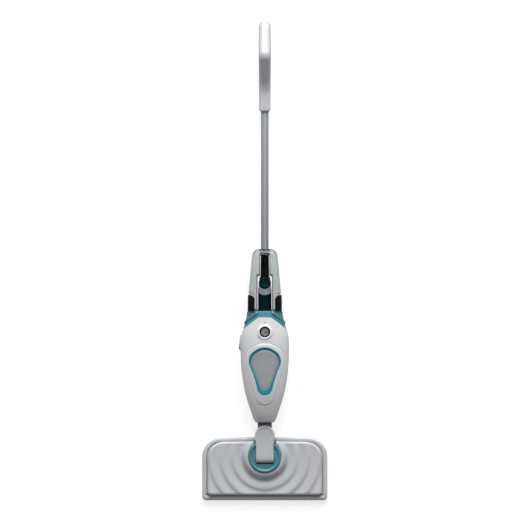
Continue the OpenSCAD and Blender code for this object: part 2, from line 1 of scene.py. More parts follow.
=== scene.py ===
import bpy
import bmesh
import math
import numpy as np
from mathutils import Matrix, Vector
from mathutils.geometry import delaunay_2d_cdt


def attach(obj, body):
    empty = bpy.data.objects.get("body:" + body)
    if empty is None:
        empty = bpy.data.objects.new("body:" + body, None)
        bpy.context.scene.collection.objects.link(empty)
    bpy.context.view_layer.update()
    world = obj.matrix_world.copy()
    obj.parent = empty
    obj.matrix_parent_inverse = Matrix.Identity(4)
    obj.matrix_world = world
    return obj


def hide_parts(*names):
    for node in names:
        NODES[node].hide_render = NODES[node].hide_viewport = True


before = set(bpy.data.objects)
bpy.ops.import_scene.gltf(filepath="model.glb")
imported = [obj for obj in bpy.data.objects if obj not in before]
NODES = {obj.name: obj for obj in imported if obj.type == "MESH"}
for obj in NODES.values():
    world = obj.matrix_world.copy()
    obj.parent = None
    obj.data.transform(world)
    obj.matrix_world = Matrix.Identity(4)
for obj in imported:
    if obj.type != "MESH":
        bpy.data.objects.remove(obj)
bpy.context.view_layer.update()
# lengths below are in millimetres and MM turns them into metres
MM = 0.001
HEAD_W, HEAD_D = 150.0, 76.0                        # half width and half depth of the head
TILT_Y = 28.0                                       # the neck's tilt axis
NECK_TIP = 78.0                                     # centre of the neck's knuckle
BODY_START, COLLAR_Y, BODY_END = 108.0, 333.0, 375.0
PART_Z = 44.0                                       # the plane in which the two shells meet
STICK_Z = 38.0                                      # the stick's axis
BUTTON_Y = 443.5
DIAL = (0.0, 323.5)
ROUND = 0.84                                        # exponent of the body's section

# -------------------- materials


def shader(name, color, rough, metal=0.0, coat=0.0, spec=0.5, sheen=0.0, glass=0.0):
    m = bpy.data.materials.new(name)
    m.use_nodes = True
    b = m.node_tree.nodes["Principled BSDF"]
    for socket, value in (("Base Color", (*color, 1)), ("Roughness", rough), ("Metallic", metal),
                          ("IOR", 1.45), ("Specular IOR Level", spec), ("Coat Weight", coat),
                          ("Coat Roughness", 0.08),
                          ("Sheen Weight", sheen), ("Transmission Weight", glass)):
        b.inputs[socket].default_value = value
    m.diffuse_color = (*color, 1)
    return m, b


def node(m, kind, x=0, **sockets):
    n = m.node_tree.nodes.new(kind)
    n.location = (x, 0)
    for k, v in sockets.items():
        n.inputs[k.replace("_", " ")].default_value = v
    return n


def link(m, source, output, target, socket):
    m.node_tree.links.new(source.outputs[output], target.inputs[socket])


def grain(m, b, scale, color, spread, bump, rough=None, stretch=(1, 1, 1)):
    """Fine colour variation, roughness variation and bump from noise, in object coordinates."""
    coord = node(m, "ShaderNodeTexCoord", -1200)
    mapping = node(m, "ShaderNodeMapping", -1000, Scale=stretch)
    link(m, coord, "Object", mapping, "Vector")
    noise = node(m, "ShaderNodeTexNoise", -800, Scale=scale, Detail=6.0, Roughness=0.6)
    link(m, mapping, "Vector", noise, "Vector")
    ramp = node(m, "ShaderNodeValToRGB", -500)
    for end, position, k in zip(ramp.color_ramp.elements, (0.35, 0.65), (1 - spread, 1 + spread)):
        end.color = (*[min(1, c * k) for c in color], 1)
        end.position = position
    link(m, noise, "Fac", ramp, "Fac")
    link(m, ramp, "Color", b, "Base Color")
    if rough:
        gloss = node(m, "ShaderNodeMapRange", -500, To_Min=rough[0], To_Max=rough[1])
        link(m, noise, "Fac", gloss, "Value")
        link(m, gloss, "Result", b, "Roughness")
    fine = node(m, "ShaderNodeTexNoise", -800, Scale=scale * 6, Detail=3.0, Roughness=0.5)
    link(m, mapping, "Vector", fine, "Vector")
    relief = node(m, "ShaderNodeBump", -300, Strength=bump, Distance=0.0002)
    link(m, fine, "Fac", relief, "Height")
    link(m, relief, "Normal", b, "Normal")


def plastic(name, color, rough, coat, spread, bump, spec=0.5):
    m, b = shader(name, color, rough, coat=coat, spec=spec)
    grain(m, b, 160.0, color, spread, bump, (rough - 0.05, rough + 0.06))
    return m


def metal(name, color, rough, metallic, spread, scale, stretch=(1, 1, 1)):
    m, b = shader(name, color, rough, metal=metallic)
    grain(m, b, scale, color, spread, 0.1, (rough - 0.06, rough + 0.08), stretch)
    return m


M = {
    # colour, roughness, coat, colour spread, bump, specular level
    "body": plastic("body_pearl_white", (0.575, 0.585, 0.59), 0.36, 0.12, 0.012, 0.04, 0.4),
    "head": plastic("head_light_grey", (0.455, 0.475, 0.49), 0.36, 0.25, 0.015, 0.05),
    "neck": plastic("neck_grey", (0.42, 0.435, 0.45), 0.4, 0.2, 0.03, 0.1),
    "handle": plastic("handle_white", (0.47, 0.485, 0.50), 0.36, 0.35, 0.015, 0.05),
    "bezel": plastic("bezel_white", (0.82, 0.83, 0.83), 0.3, 0.3, 0.01, 0.03),
    "teal": plastic("teal_moulding", (0.052, 0.208, 0.254), 0.26, 0.35, 0.05, 0.03),
    "teal_bright": plastic("teal_badge_ring", (0.008, 0.205, 0.26), 0.25, 0.3, 0.05, 0.03, 0.3),
    "dark": plastic("dark_grey_moulding", (0.055, 0.058, 0.062), 0.48, 0.0, 0.08, 0.2),
    "connector": plastic("connector_grey", (0.17, 0.175, 0.18), 0.4, 0.0, 0.06, 0.1),
    "black": plastic("black_moulding", (0.004, 0.0045, 0.005), 0.28, 0.0, 0.1, 0.05, 0.2),
    "petrol": plastic("petrol_moulding", (0.0003, 0.0165, 0.0245), 0.3, 0.0, 0.1, 0.04, 0.12),
    "grey_blue": plastic("grey_blue_moulding", (0.27, 0.31, 0.34), 0.32, 0.2, 0.02, 0.05),
    "dial": plastic("dial_grey", (0.16, 0.165, 0.17), 0.42, 0.15, 0.06, 0.15),
    "lens": plastic("lens_smoke", (0.28, 0.30, 0.31), 0.25, 0.4, 0.03, 0.02),
    "hose": plastic("silicone_hose", (0.55, 0.6, 0.63), 0.45, 0.0, 0.03, 0.05),
    "rubber": plastic("black_silicone", (0.012, 0.012, 0.013), 0.6, 0.0, 0.1, 0.2),
    "board": plastic("circuit_board", (0.01, 0.10, 0.045), 0.4, 0.3, 0.1, 0.1),
    "pump": plastic("pump_blue", (0.03, 0.07, 0.13), 0.45, 0.0, 0.06, 0.1),
    # colour, roughness, metallic, colour spread, grain scale, stretch of the grain
    "steel": metal("plated_steel", (0.62, 0.63, 0.64), 0.28, 1.0, 0.06, 300.0),
    "alu": metal("cast_aluminium", (0.6, 0.61, 0.62), 0.5, 1.0, 0.06, 260.0),
    "tube": metal("painted_tube", (0.25, 0.265, 0.28), 0.5, 0.1, 0.03, 220.0, (1, 0.06, 1)),
    "plate": metal("badge_silver", (0.43, 0.445, 0.46), 0.4, 0.6, 0.05, 60.0, (1, 8, 1)),
}


def clear_plastic():
    m, b = shader("tank_clear", (0.80, 0.82, 0.83), 0.02, glass=1.0)
    tint = node(m, "ShaderNodeVolumeAbsorption", Color=(0.49, 0.51, 0.52, 1), Density=60.0)
    link(m, tint, "Volume", m.node_tree.nodes["Material Output"], "Volume")
    coord = node(m, "ShaderNodeTexCoord", -1200)
    noise = node(m, "ShaderNodeTexNoise", -800, Scale=90.0, Detail=2.0)
    link(m, coord, "Object", noise, "Vector")
    haze = node(m, "ShaderNodeMapRange", -500, To_Min=0.0, To_Max=0.012)
    link(m, noise, "Fac", haze, "Value")
    link(m, haze, "Result", b, "Roughness")
    return m


def microfibre(name, color):
    m, b = shader(name, color, 0.95, sheen=0.6, spec=0.2)
    coord = node(m, "ShaderNodeTexCoord", -1200)
    cells = node(m, "ShaderNodeTexVoronoi", -900, Scale=420.0)
    link(m, coord, "Object", cells, "Vector")
    noise = node(m, "ShaderNodeTexNoise", -900, Scale=60.0, Detail=8.0)
    link(m, coord, "Object", noise, "Vector")
    ramp = node(m, "ShaderNodeValToRGB", -500)
    for end, k in zip(ramp.color_ramp.elements, (0.82, 1.06)):
        end.color = (*[min(1, c * k) for c in color], 1)
    link(m, noise, "Fac", ramp, "Fac")
    link(m, ramp, "Color", b, "Base Color")
    pile = node(m, "ShaderNodeBump", -300, Strength=0.9, Distance=0.0012)
    link(m, cells, "Distance", pile, "Height")
    link(m, pile, "Normal", b, "Normal")
    return m


M["clear"] = clear_plastic()
M["pad"] = microfibre("microfibre_white", (0.80, 0.80, 0.79))
M["pad_tape"] = microfibre("pad_binding_tape", (0.62, 0.63, 0.64))

# -------------------- mesh helpers


def solid(name, verts, faces, weld, least=0.0):
    """A mesh from points in millimetres, with close points welded and its faces turned outward."""
    mesh = bpy.data.meshes.new(name)
    mesh.from_pydata([tuple(c * MM for c in v) for v in verts], [], [tuple(f) for f in faces])
    bm = bmesh.new()
    bm.from_mesh(mesh)
    bmesh.ops.remove_doubles(bm, verts=bm.verts, dist=weld)
    if least:
        bmesh.ops.dissolve_degenerate(bm, edges=bm.edges, dist=least)
    bmesh.ops.recalc_face_normals(bm, faces=bm.faces)
    bm.to_mesh(mesh)
    bm.free()
    return mesh


def new_object(name, data):
    obj = bpy.data.objects.new(name, data)
    bpy.context.scene.collection.objects.link(obj)
    return obj


def add(name, verts, faces, mat, body, hides, angle=38):
    return place(solid(name, verts, faces, 1e-5, 5e-6), name, mat, body, hides, angle)


def place(mesh, name, mat, body, hides, angle):
    mesh.materials.clear()
    mesh.materials.append(mat)
    smooth(mesh, angle)
    obj = new_object(name, mesh)
    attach(obj, body)
    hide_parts(*hides)
    return obj


def smooth(mesh, angle):
    mesh.polygons.foreach_set("use_smooth", [True] * len(mesh.polygons))
    mesh.set_sharp_from_angle(angle=math.radians(angle))
    mesh.update()


def soften(obj, width, segments, angle, shade):
    """Rounds the edges that are sharper than angle."""
    b = obj.modifiers.new("edges", "BEVEL")
    b.width = width * MM
    b.segments = segments
    b.limit_method = "ANGLE"
    b.angle_limit = math.radians(angle)
    b.harden_normals = False
    b.use_clamp_overlap = True
    bake(obj)
    smooth(obj.data, shade)


def bake(obj):
    """Applies the modifiers of an object to its mesh."""
    deps = bpy.context.evaluated_depsgraph_get()
    deps.update()
    mesh = bpy.data.meshes.new_from_object(obj.evaluated_get(deps))
    obj.modifiers.clear()
    obj.data = mesh


def cut(obj, tools, operation="DIFFERENCE"):
    """Boolean of obj with each tool object; the tools are removed afterwards."""
    for t in tools:
        b = obj.modifiers.new("cut", "BOOLEAN")
        b.operation = operation
        b.solver = "EXACT"
        b.object = t
    bake(obj)
    drop_crumbs(obj.data)
    for t in tools:
        bpy.data.objects.remove(t)


def tool(verts, faces):
    return new_object("tool", solid("tool", verts, faces, 1e-6))


def prism(outline, z0, z1):
    n = len(outline)
    verts = [(x, y, z0) for x, y in outline] + [(x, y, z1) for x, y in outline]
    faces = [list(range(n))[::-1], list(range(n, 2 * n))]
    faces += [[i, (i + 1) % n, n + (i + 1) % n, n + i] for i in range(n)]
    return verts, faces


def box(x0, x1, y0, y1, z0, z1):
    return prism([(x0, y0), (x1, y0), (x1, y1), (x0, y1)], z0, z1)


def lathe(profile, centre, axis="Z", n=96, closed=True):
    """Revolves a profile of (radius, height) about an axis through centre."""
    verts, faces = [], []
    m = len(profile)
    for i in range(n):
        a = 2 * math.pi * i / n
        for r, h in profile:
            u, v = r * math.cos(a), r * math.sin(a)
            p = {"Z": (u, v, h), "Y": (u, h, v), "X": (h, u, v)}[axis]
            verts.append(tuple(p[k] + centre[k] for k in range(3)))
    last = m if closed else m - 1
    for i in range(n):
        j = (i + 1) % n
        for k in range(last):
            k2 = (k + 1) % m
            faces.append([i * m + k, j * m + k, j * m + k2, i * m + k2])
    return verts, faces


def grid_faces(rows, cols, wrap_cols=False, wrap_rows=False, start=0):
    faces = []
    for i in range(rows if wrap_rows else rows - 1):
        for j in range(cols if wrap_cols else cols - 1):
            a, b = start + i * cols, start + (i + 1) % rows * cols
            c, d = j, (j + 1) % cols
            faces.append([a + c, a + d, b + d, b + c])
    return faces


def pin(radius, lo, hi, centre, axis="Z", n=40):
    """A round tool from lo to hi along an axis through centre."""
    return tool(*lathe([(0, lo), (radius, lo), (radius, hi), (0, hi)], centre, axis, n, closed=False))


def rounded_copy(source, mat, body, width, segments):
    """A copy of a CAD node with its flat triangles joined and its edges rounded."""
    name = f"{source}_visual"
    mesh = NODES[source].data.copy()
    mesh.name = name
    bm = bmesh.new()
    bm.from_mesh(mesh)
    bmesh.ops.remove_doubles(bm, verts=bm.verts, dist=2e-6)
    bmesh.ops.dissolve_limit(bm, angle_limit=math.radians(1.0), verts=bm.verts, edges=bm.edges)
    bm.to_mesh(mesh)
    bm.free()
    if "custom_normal" in mesh.attributes:
        mesh.attributes.remove(mesh.attributes["custom_normal"])
    obj = place(mesh, name, mat, body, (source,), 40)
    soften(obj, width, segments, 30, 40)


# -------------------- outlines


def unit(a):
    n = math.hypot(*a)
    return (a[0] / n, a[1] / n)


def rounded(points, n):
    """A polygon of (x, y, corner radius) with its corners rounded, as the part's own outlines are."""
    out, m = [], len(points)
    for i in range(m):
        a, b, c, r = points[i - 1][:2], points[i][:2], points[(i + 1) % m][:2], points[i][2]
        u, v = unit((a[0] - b[0], a[1] - b[1])), unit((c[0] - b[0], c[1] - b[1]))
        half = math.acos(max(-1, min(1, u[0] * v[0] + u[1] * v[1]))) / 2
        w = unit((u[0] + v[0], u[1] + v[1]))
        centre = (b[0] + w[0] * r / math.sin(half), b[1] + w[1] * r / math.sin(half))
        s = (b[0] + u[0] * r / math.tan(half), b[1] + u[1] * r / math.tan(half))
        e = (b[0] + v[0] * r / math.tan(half), b[1] + v[1] * r / math.tan(half))
        start = math.atan2(s[1] - centre[1], s[0] - centre[0])
        turn = math.atan2(e[1] - centre[1], e[0] - centre[0]) - start
        turn = (turn + 3 * math.pi) % (2 * math.pi) - math.pi
        for k in range(n + 1):
            t = start + turn * k / n
            out.append((centre[0] + r * math.cos(t), centre[1] + r * math.sin(t)))
    return out


def dense(outline, gap):
    """The same closed outline with long edges divided."""
    out = []
    for i, p in enumerate(outline):
        q = outline[(i + 1) % len(outline)]
        k = max(1, int(math.hypot(q[0] - p[0], q[1] - p[1]) / gap))
        out += [(p[0] + (q[0] - p[0]) * t / k, p[1] + (q[1] - p[1]) * t / k) for t in range(k)]
    return out


def signed_distance(points, outline):
    """Distance from points to a closed outline, negative inside."""
    p = np.asarray(points, float)[:, :2]
    o = np.asarray(outline, float)
    q = np.roll(o, -1, axis=0)
    best = np.full(len(p), 1e9)
    inside = np.zeros(len(p), bool)
    for a, b in zip(o, q):
        d = b - a
        t = np.clip(((p - a) @ d) / max(d @ d, 1e-12), 0, 1)
        near = a + t[:, None] * d
        best = np.minimum(best, np.hypot(*(p - near).T))
        crosses = (a[1] > p[:, 1]) != (b[1] > p[:, 1])
        with np.errstate(divide="ignore", invalid="ignore"):
            x = a[0] + (p[:, 1] - a[1]) * d[0] / (d[1] if d[1] else 1e-12)
        inside ^= crosses & (p[:, 0] < x)
    return np.where(inside, -best, best)


def step(x, lo, hi):
    t = np.clip((np.asarray(x, float) - lo) / (hi - lo), 0, 1)
    return t * t * (3 - 2 * t)


def fillet(d, r):
    """How far a surface drops at distance d from its edge for an edge of radius r."""
    d = np.clip(d, 0, r)
    return r - np.sqrt(np.maximum(r * r - (r - d) ** 2, 0))


def hex_grid(x0, y0, x1, y1, gap):
    """Points in staggered rows over a rectangle."""
    gx, gy = np.meshgrid(np.arange(x0, x1, gap), np.arange(y0, y1, gap * 0.87))
    gx[1::2] += gap / 2
    return np.stack([gx.ravel(), gy.ravel()], -1)


def fill(points, loops, kept):
    """Triangles over points, where kept; loops has the lengths of the outlines that come first in points."""
    edges, first = [], 0
    for m in loops:
        edges += [(first + i, first + (i + 1) % m) for i in range(m)]
        first += m
    v2, _edges, faces, *_ = delaunay_2d_cdt([Vector(p) for p in points], edges, [], 0, 1e-4)
    v2 = np.array([tuple(v) for v in v2])
    centres = np.array([v2[list(f)].mean(0) for f in faces])
    return v2, [list(f) for f, k in zip(faces, kept(centres)) if k]


def sheet(outline, gap, rings, pull=0.7):
    """Triangles that fill a closed outline, with rows of points set in from its edge."""
    pts = list(outline)
    for d in rings:
        pts += inset_loop(outline, d)
    o = np.array(outline)
    grid = hex_grid(*o.min(0), *o.max(0), gap)
    pts += [tuple(p) for p in grid[signed_distance(grid, outline) < -(max(rings) + pull * gap)]]
    return fill(pts, [len(outline)], lambda c: signed_distance(c, outline) < 0)


def open_edges(faces):
    seen = {}
    for f in faces:
        for i in range(len(f)):
            e = (f[i], f[(i + 1) % len(f)])
            seen.setdefault(tuple(sorted(e)), []).append(e)
    return [es[0] for es in seen.values() if len(es) == 1]


def slab(v2, faces, top, low):
    """A closed solid between two height functions over the same triangles."""
    return thick(np.column_stack((v2, top)), np.column_stack((v2, low)), faces)


def thick(outer, inner, faces):
    """A closed wall between two sets of points that share the same faces."""
    n = len(outer)
    walls = [[b, a, n + a, n + b] for a, b in open_edges(faces)]
    verts = [tuple(v) for v in outer] + [tuple(v) for v in inner]
    return verts, faces + [[n + i for i in f[::-1]] for f in faces] + walls


def drop_crumbs(mesh):
    """Removes the loose scraps a boolean can leave."""
    bm = bmesh.new()
    bm.from_mesh(mesh)
    seen, scraps = set(), []
    for v in bm.verts:
        if v in seen:
            continue
        group, todo = [], [v]
        seen.add(v)
        while todo:
            w = todo.pop()
            group.append(w)
            for e in w.link_edges:
                q = e.other_vert(w)
                if q not in seen:
                    seen.add(q)
                    todo.append(q)
        if len(group) < 20:
            scraps += group
    bmesh.ops.delete(bm, geom=scraps, context="VERTS")
    bm.to_mesh(mesh)
    bm.free()


# -------------------- body surface

# place along the stick, half width, depth in front of the parting plane and depth behind it
BODY = np.array([
    [108, 20, 14, 15], [118, 27, 21, 19], [134, 32.6, 29, 24], [163, 42, 38.5, 31], [193, 49.5, 44, 35],
    [222, 54.2, 47.5, 37.5], [250, 57, 49.5, 38], [280, 58, 50.5, 38], [300, 57.8, 50, 37.5],
    [316, 56.5, 49, 36.5], [331, 52.5, 47.5, 35], [346, 47.8, 45.8, 33], [360, 42.6, 44, 31.5],
    [375, 41, 42, 30],
])


def smooth_rows(rows):
    """The same table with 20 steps between the rows, on a curve through them."""
    steps = 20
    out = []
    n = len(rows)
    for i in range(n - 1):
        a, b, c, d = rows[max(i - 1, 0)], rows[i], rows[i + 1], rows[min(i + 2, n - 1)]
        for k in range(steps):
            t = k / steps
            out.append(0.5 * (2 * b + (c - a) * t + (2 * a - 5 * b + 4 * c - d) * t ** 2
                              + (3 * b - a - 3 * c + d) * t ** 3))
    out.append(rows[-1])
    return np.array(out)


TABLE = smooth_rows(BODY)


def section(y, column):
    return np.interp(y, TABLE[:, 0], TABLE[:, column])


def front_z(x, y):
    power = 2 / ROUND
    side = np.maximum(1 - (np.abs(x) / section(y, 1)) ** power, 0)
    return PART_Z + section(y, 2) * side ** (1 / power)


def shell_point(a, y, up):
    """Points on the body's section at angle a (0 to pi) and place y, in front (up 1) or behind (up -1)."""
    c, s = np.cos(a), np.maximum(np.sin(a), 0)
    depth = section(y, 2 if up > 0 else 3)
    return section(y, 1) * np.sign(c) * np.abs(c) ** ROUND, PART_Z + up * depth * s ** ROUND


def normals_of(x, y, z):
    """Unit normals of a grid surface given as three 2-D arrays."""
    p = np.stack([x, y, z], -1)
    du = np.gradient(p, axis=1)
    dv = np.gradient(p, axis=0)
    n = np.cross(du, dv)
    n /= np.maximum(np.linalg.norm(n, axis=-1, keepdims=True), 1e-9)
    return n


def skin(a, y, up):
    """A grid of points on the body and its outward normals."""
    x, z = shell_point(a, y, up)
    n = normals_of(x, y, z)
    rows, cols = a.shape
    return np.stack([x, y, z], -1), n if n[rows // 2, cols // 2, 2] * up > 0 else -n


def flank(a, radius):
    """The fillet along the parting plane."""
    return fillet(np.minimum(a, math.pi - a) * 40, radius)


def wall(surface, n, rise, depth):
    """A closed wall from a grid surface raised by rise to the given depth below that surface."""
    return thick((surface + n * rise[..., None]).reshape(-1, 3), (surface - n * depth).reshape(-1, 3),
                 grid_faces(*rise.shape))


# the badge's ring from outside and inside, and the raised field round it
DROP_OUT = rounded([(0, 295.5, 38), (-44, 266, 28), (-13.4, 173.4, 18), (13.4, 173.4, 18), (44, 266, 28)], 14)
DROP_IN = rounded([(0, 285.5, 33), (-39.2, 263.5, 25), (-10, 186.5, 13), (10, 186.5, 13),
                   (39.2, 263.5, 25)], 14)
PLATEAU = rounded([(0, 306, 50), (-55, 270, 36), (-17, 149.5, 22), (17, 149.5, 22), (55, 270, 36)], 14)


def slope(x):
    """The slanted lines on either side that the seam and the collar's ridge follow."""
    return COLLAR_Y + (52 - np.abs(x)) * 26.5 / 36.5


def seam(x):
    """Where the front shell ends and the collar begins."""
    return np.minimum(359.5, slope(x))


def front_grid(cols, rows):
    """Angles and places along the stick of the front shell's grid, ending at the seam with the collar."""
    a = np.linspace(0, math.pi, cols)
    end = np.full(cols, 345.0)
    for _ in range(60):
        end = 0.5 * end + 0.5 * seam(shell_point(a, end, 1)[0])
    y = BODY_START + np.outer(np.linspace(0, 1, rows), end - BODY_START)
    return np.tile(a, (rows, 1)), y, end


def make_front_shell():
    a, y, end = front_grid(180, 270)
    surface, n = skin(a, y, 1)
    surface, n = surface.reshape(-1, 3), n.reshape(-1, 3)
    facing = n[:, 2] > 0.2
    plateau = signed_distance(surface, PLATEAU)
    ring = signed_distance(surface, DROP_OUT)
    dial = np.hypot(surface[:, 0] - DIAL[0], surface[:, 1] - DIAL[1])
    field = 1.1 * (1 - step(plateau, -2.4, 0.8)) - 0.55 * np.exp(-((plateau - 1.1) / 1.15) ** 2)
    d = facing * (1 - step(surface[:, 1], 288, 306)) * field
    d -= facing * 4.5 * (1 - step(ring, -2.6, -0.9))
    d -= facing * 5 * (1 - step(dial, 15.2, 16.6))
    d += facing * 0.7 * (1 - step(dial, 17.5, 22))
    d -= fillet((end - y).ravel() * 0.9, 1.3)
    d -= fillet(y.ravel() - BODY_START, 2.5)
    d -= flank(a, 1.3).ravel()
    # openings for the dial and the badge
    faces = [f for f in grid_faces(*a.shape) if dial[f].mean() > 13.5 and ring[f].mean() > -4.2]
    under = np.minimum(d - 1.6, -2.6)
    verts, faces = thick(surface + n * d[:, None], surface + n * under[:, None], faces)
    used = sorted({i for f in faces for i in f})
    index = {v: i for i, v in enumerate(used)}
    verts = [verts[i] for i in used]
    faces = [[index[i] for i in f] for f in faces]
    add("front_shell_visual", verts, faces, M["body"], "body", ("front_shell",))


def make_collar():
    """A front half with a ridge along its slopes and a plain back half."""
    cols, rows = 230, 70
    a, _y, end = front_grid(cols, rows)
    y = end + np.outer(np.linspace(0, 1, rows), BODY_END - end)
    surface, n = skin(a, y, 1)
    x = np.abs(surface[..., 0])
    ridge = (y - slope(x)) * 0.81
    lift = 2.2 * step(ridge, 5.6, 9.0) + 1.1 * np.exp(-((ridge - 9.8) / 1.7) ** 2)
    d = -0.7 + (x > 15.5) * lift * step(x, 14, 20) - fillet(BODY_END - y, 0.8) - flank(a, 0.6)
    verts, faces = wall(surface, n, d, 3.0)
    a = a[:16]
    y = np.outer(np.linspace(COLLAR_Y, BODY_END, len(a)), np.ones(cols))
    surface, n = skin(a, y, -1)
    more, walls = wall(surface, n, -0.5 - fillet(BODY_END - y, 0.8) - flank(a, 0.6), 3.0)
    faces += [[i + len(verts) for i in f] for f in walls]
    add("collar_visual", verts + more, faces, M["teal"], "body", ("collar",), angle=30)


def make_rear_shell():
    cols, rows = 120, 150
    a = np.tile(np.linspace(0, math.pi, cols), (rows, 1))
    y = np.outer(np.linspace(BODY_START, COLLAR_Y, rows), np.ones(cols))
    surface, n = skin(a, y, -1)
    d = -fillet(COLLAR_Y - y, 0.8) - fillet(y - BODY_START, 2.5) - flank(a, 1.3)
    v, f = wall(surface, n, d, 2.4)
    obj = add("rear_shell_visual", v, f, M["body"], "body", ("rear_shell",))
    screws = [pin(3.4, -5, 40, (*at, 0)) for at in ((-34, 180), (34, 180), (-40, 250), (40, 250))]
    cut(obj, screws + [pin(7, -5, 40, (0, 300, 0), n=48)])
    smooth(obj.data, 38)


make_front_shell()
make_collar()
make_rear_shell()

# -------------------- badge


def on_front(outline, lift):
    """An outline laid on the front of the body and lifted off it."""
    p = np.asarray(outline)
    return np.column_stack((p, front_z(p[:, 0], p[:, 1]) + lift)).tolist()


def make_badge():
    outer, inner = np.array(DROP_OUT), np.array(DROP_IN)
    cols = len(outer)
    profile = [(-0.02, -2.5), (0.0, 0.1), (0.05, 0.75), (0.12, 1.0), (0.22, 0.85), (0.5, 0.05), (0.8, -0.9),
               (0.93, -1.35), (1.0, -1.9), (1.03, -4.0)]
    verts = [p for s, h in profile for p in on_front(outer + (inner - outer) * s, 0.9 + h)]
    faces = grid_faces(len(profile), cols, wrap_cols=True, wrap_rows=True)
    add("badge_ring_visual", verts, faces, M["teal_bright"], "body", ("badge_ring",), angle=45)
    # the plate is dished: rings about its centre, and a fan in the middle
    centre = np.array([0, 240.0])
    scales = np.linspace(0.02, 1.0, 26)
    verts = []
    for s in scales:
        verts += on_front(centre + (inner - centre) * s, -0.75 - 1.5 * (1 - s * s) - 0.5 * step(s, 0.93, 1.0))
    verts += on_front([centre], -2.25)
    faces = grid_faces(len(scales), cols, wrap_cols=True)
    faces += [[len(verts) - 1, (k + 1) % cols, k] for k in range(cols)]
    verts, faces = thick(verts, [(x, y, z - 1.4) for x, y, z in verts], faces)
    add("badge_plate_visual", verts, faces, M["plate"], "body", ("badge_plate",))


make_badge()

# -------------------- dial


def make_dial():
    top = float(front_z(*DIAL))
    # radius and height above the shell
    bezel = [(17.5, -6), (17.5, 0.2), (17.3, 1.2), (16.6, 2.6), (15.6, 3.6), (14.6, 3.9), (13.7, 3.6),
             (13.0, 2.6), (12.8, 1.0), (12.8, -8)]
    seat = [(12.8, -8), (12.8, 1.4), (12.4, 1.7), (11.6, 1.2), (10.6, 0.6), (9.9, 0.4), (9.9, -10)]
    for name, prof, mat, slot in (("dial_bezel", bezel, "bezel", "bezel_white"),
                                  ("dial_seat", seat, "black", "black_plastic")):
        v, f = lathe([(r, top + h) for r, h in prof], (*DIAL, 0), "Z", 128)
        add(f"{name}_visual", v, f, M[mat], "body", (name,), angle=50)
    # the cap has a dished top, a knurled edge and a raised grip bar
    rings = [(2.0, 2.15), (4.0, 2.1), (6.0, 2.25), (7.4, 2.7), (8.2, 3.0), (8.9, 2.9), (9.3, 2.4),
             (9.45, 1.5), (9.45, -8)]
    n = 144
    verts = [(*DIAL, top + 2.2)]
    for r, h in rings:
        for k in range(n):
            a = 2 * math.pi * k / n
            rr = r - (0.22 if r > 9 and k % 4 in (0, 1) else 0)
            u, w = math.cos(a - math.pi / 4) * rr, math.sin(a - math.pi / 4) * rr
            bar = 1.1 * float(1 - step(abs(w), 1.2, 2.2)) * float(1 - step(abs(u), 6.6, 8.2))
            verts.append((DIAL[0] + rr * math.cos(a), DIAL[1] + rr * math.sin(a), top + h + bar))
    faces = [[0, 1 + k, 1 + (k + 1) % n] for k in range(n)]
    faces += grid_faces(len(rings), n, wrap_cols=True, start=1)
    faces.append([1 + (len(rings) - 1) * n + k for k in range(n)])
    add("steam_dial_visual", verts, faces, M["dial"], "dial", ("steam_dial",), angle=50)
    lens = dense(rounded([(-5.5, 343.0, 0.7), (0, 345.2, 1.2), (5.5, 343.0, 0.7), (0, 348.5, 1.2)], 4), 1.0)
    verts, faces = thick(on_front(lens, 0.25), on_front(lens, -1.5), [list(range(len(lens)))])
    add("index_lens_visual", verts, faces, M["lens"], "body", ("index_lens",))


make_dial()

# -------------------- finish of the nodes that keep their CAD shape

for mat, names in {
    "dark": ("hook_strips", "pivot_cradle", "steam_diffuser", "steam_elbow", "dial_valve", "switch_block",
             "tank_deck", "tank_seat"),
    "steel": ("tilt_axle", "cradle_screws", "cover_screws", "swivel_pin", "heater_rods", "thermostat",
              "thermal_fuse", "steam_pipe", "shell_screws", "button_spring", "handle_screws", "deck_screws"),
    "alu": ("boiler",),
    "pump": ("pump",),
    "hose": ("inlet_hose", "outlet_hose", "neck_hose"),
    "board": ("control_board",),
    "rubber": ("cable_gland", "tank_seal"),
}.items():
    for name in names:
        NODES[name].data.materials.clear()
        NODES[name].data.materials.append(M[mat])

# -------------------- head


def bow(x, y):
    """The rear edge bows out towards the middle."""
    return y * (1 - 0.05 * (abs(x) / HEAD_W) ** 2.2) if y > 0 else y


def head_outline(inset):
    w, d = HEAD_W - inset, HEAD_D - inset
    front, back = max(10 - inset, 3), 44 - inset * 0.7
    pts = rounded([(-w, -d, front), (w, -d, front), (w, d, back), (-w, d, back)], 14)
    return [(x, bow(x, y)) for x, y in dense(pts, 6.0)]


def loops_mesh(loops):
    """A closed solid through loops that all have the same number of points."""
    cols = len(loops[0])
    faces = grid_faces(len(loops), cols, wrap_cols=True)
    faces += [list(range(cols))[::-1], list(range((len(loops) - 1) * cols, len(loops) * cols))]
    return [p for loop in loops for p in loop], faces


def inset_loop(outline, d):
    """A closed outline moved in along its own normals."""
    o = np.array(outline)
    t = np.roll(o, -1, axis=0) - np.roll(o, 1, axis=0)
    n = np.stack([t[:, 1], -t[:, 0]], -1)
    n /= np.maximum(np.linalg.norm(n, axis=1, keepdims=True), 1e-9)
    area = 0.5 * np.sum(o[:, 0] * np.roll(o[:, 1], -1) - np.roll(o[:, 0], -1) * o[:, 1])
    if area < 0:
        n = -n
    return [tuple(p) for p in o - n * d]


